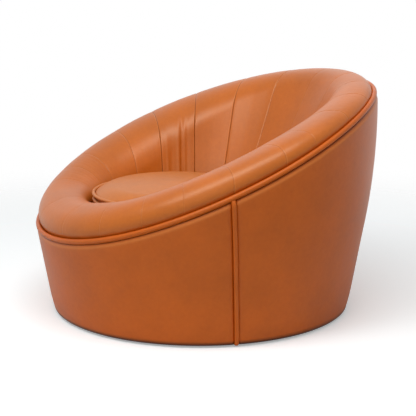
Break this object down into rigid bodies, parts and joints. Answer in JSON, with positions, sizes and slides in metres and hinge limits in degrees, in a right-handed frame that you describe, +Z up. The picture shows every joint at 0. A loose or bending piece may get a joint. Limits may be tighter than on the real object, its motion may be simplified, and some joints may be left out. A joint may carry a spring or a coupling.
{
  "type": "swivel tub chair",
  "caption": "Tan leather swivel tub chair with a slanted rim, a padded roll sewn from gores that runs down the inside, and a loose round piped seat cushion.",
  "frame": {"origin": "swivel axis at the floor, at the middle of the round base", "axes": "+Z up along the swivel axis; -Y towards the low front of the rim; +X to the sitter's left"},
  "size_m": [1.021, 1.0019, 0.6876],
  "materials": {
    "leather": "satin",
    "cushion_leather": "satin",
    "lining": "matte",
    "padding": "matte",
    "plywood": "matte",
    "steel": "satin",
    "plastic": "matte"
  },
  "bodies": {
    "base": {"floor_glides": "plastic", "base_board": "plywood", "lower_bearing_plate": "steel", "swivel_pin": "steel", "swivel_pin_nut": "steel", "lower_plate_screws": "steel"},
    "ball_ring": {"bearing_balls": "steel", "ball_cage": "plastic"},
    "tub": {"outer_cover_front": "leather", "outer_cover_rear": "leather", "rim_piping_right": "leather", "rim_piping_left": "leather", "side_piping_right": "leather", "side_piping_left": "leather", "gore_01": "leather", "gore_02": "leather", "gore_03": "leather", "gore_04": "leather", "gore_05": "leather", "gore_06": "leather", "gore_07": "leather", "gore_08": "leather", "gore_09": "leather", "gore_10": "leather", "gore_11": "leather", "gore_12": "leather", "gore_13": "leather", "gore_14": "leather", "gore_15": "leather", "gore_16": "leather", "gore_17": "leather", "gore_18": "leather", "gore_19": "leather", "gore_20": "leather", "gore_21": "leather", "dust_cover": "lining", "webbing_straps": "lining", "roll_foam_right": "padding", "roll_foam_left": "padding", "outer_wadding": "padding", "deck_pad": "padding", "bottom_board": "plywood", "seat_deck_board": "plywood", "rim_rail": "plywood", "outer_shell_board": "plywood", "rib_1": "plywood", "rib_2": "plywood", "rib_3": "plywood", "rib_4": "plywood", "rib_5": "plywood", "rib_6": "plywood", "upper_bearing_plate": "steel", "upper_plate_screws": "steel"},
    "seat_cushion": {"cushion_foam": "padding", "cushion_top_panel": "cushion_leather", "cushion_boxing": "cushion_leather", "cushion_bottom_panel": "lining", "cushion_top_piping": "cushion_leather", "cushion_second_piping": "cushion_leather"}
  },
  "joints": [
    {"name": "swivel", "type": "hinge", "parent": "base", "child": "tub", "pos_m": [0, 0, 0], "axis": [0, 0, 1], "continuous": true},
    {"name": "ball_ring_turn", "type": "hinge", "parent": "base", "child": "ball_ring", "pos_m": [0, 0, 0], "axis": [0, 0, 1], "continuous": true},
    {"name": "cushion_lift", "type": "slide", "parent": "tub", "child": "seat_cushion", "axis": [0, 0, 1], "range_m": [0, 0.12]}
  ],
  "couplings": [
    {"joint": "ball_ring_turn", "follows": "swivel", "ratio": 0.5}
  ]
}
